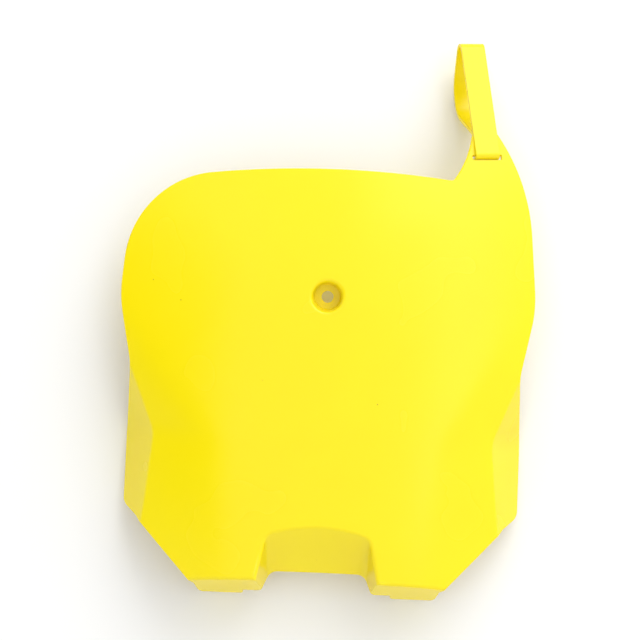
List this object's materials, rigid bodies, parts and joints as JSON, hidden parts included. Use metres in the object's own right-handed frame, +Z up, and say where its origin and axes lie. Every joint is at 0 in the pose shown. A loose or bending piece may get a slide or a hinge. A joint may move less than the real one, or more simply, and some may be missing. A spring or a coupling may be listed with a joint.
{
  "type": "racing number board",
  "caption": "Moulded plastic front number board for a racing motorbike: crowned plate with a bolt cup, folded side wings, two legs around a notch, and a strap loop on one upper corner.",
  "frame": {"origin": "on the axis of the bolt hole, where the bolt's head seats on the floor of its cup", "axes": "+X to the right of someone who faces the board, +Y back towards the forks along the bolt, +Z up"},
  "size_m": [0.2304, 0.0913, 0.3165],
  "materials": {
    "yellow_polypropylene": "moulded, glossy and slightly see-through"
  },
  "bodies": {
    "root": {"number_board": "yellow_polypropylene"}
  },
  "joints": []
}
